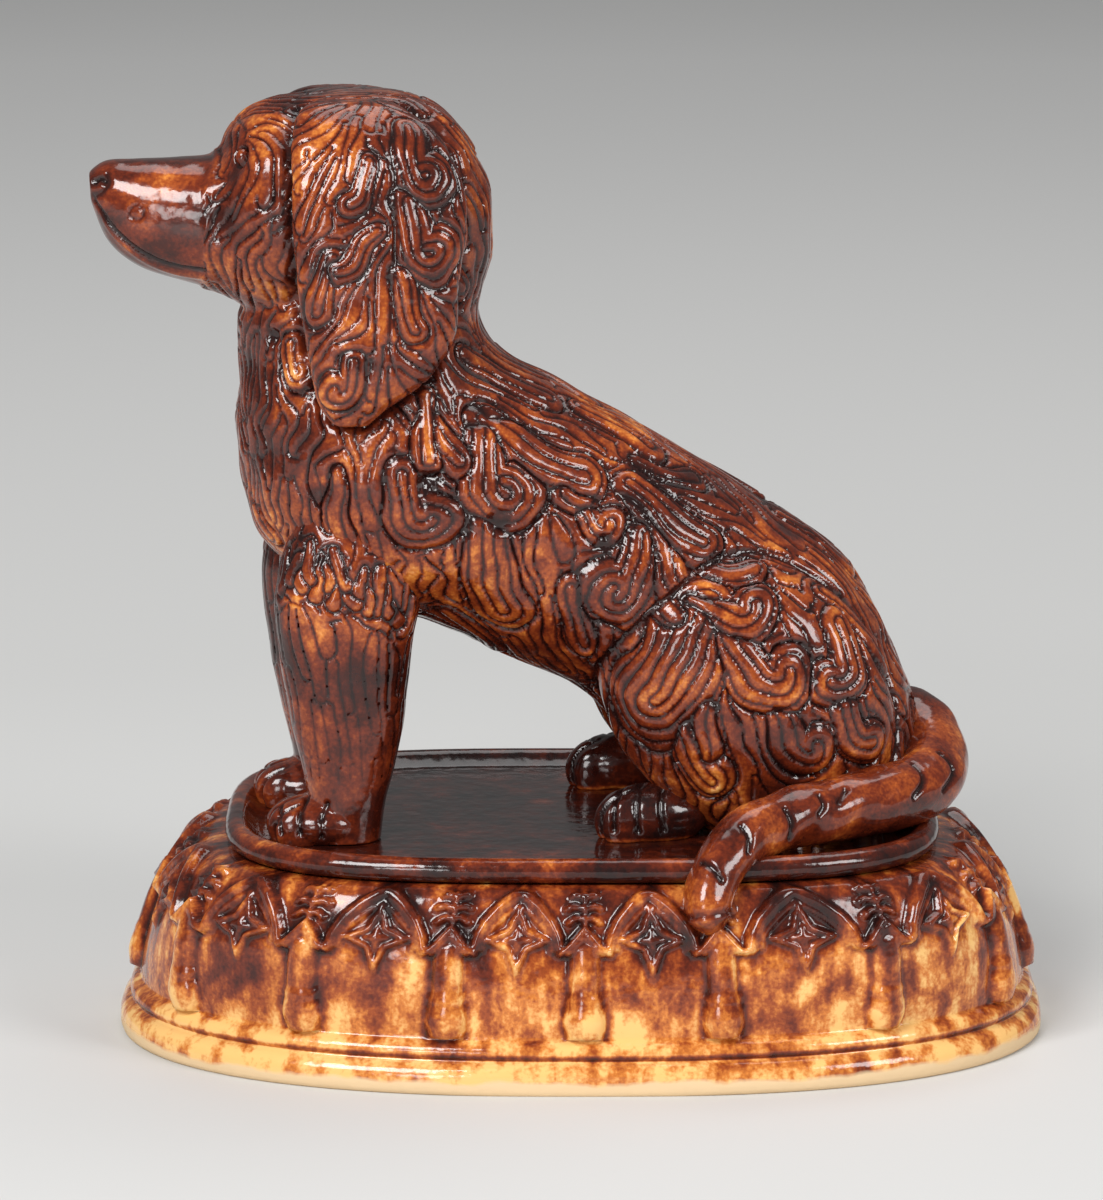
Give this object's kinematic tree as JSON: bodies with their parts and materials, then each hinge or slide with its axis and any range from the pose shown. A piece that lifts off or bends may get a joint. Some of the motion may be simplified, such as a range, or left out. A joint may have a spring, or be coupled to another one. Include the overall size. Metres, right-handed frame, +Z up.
{
  "type": "pottery dog figure",
  "caption": "Seated long-coated dog on an oval plinth with a relief arcade, hollow brown-glazed pottery figure that stands on its foot ring",
  "frame": {"origin": "on the ground under the middle of the figure's bounding box", "axes": "+X from the nose towards the tail, +Y from the dog's left side to its right, +Z up"},
  "size_m": [0.2726, 0.1758, 0.2695],
  "materials": {
    "coat_glaze": "glossy dark brown glaze, redder where thin",
    "dark_glaze": "glossy near-black brown glaze",
    "mottled_glaze": "glossy glaze mottled brown and amber",
    "bare_clay": "matt buff fired clay"
  },
  "bodies": {
    "root": {"plinth": "mottled_glaze", "platform_slab": "dark_glaze", "body_half_left": "coat_glaze", "body_half_right": "coat_glaze", "seam_coil": "bare_clay", "ear_left": "coat_glaze", "ear_right": "coat_glaze", "foreleg_left": "coat_glaze", "foreleg_right": "coat_glaze", "hind_paw_left": "dark_glaze", "hind_paw_right": "dark_glaze", "tail": "coat_glaze"}
  },
  "joints": []
}
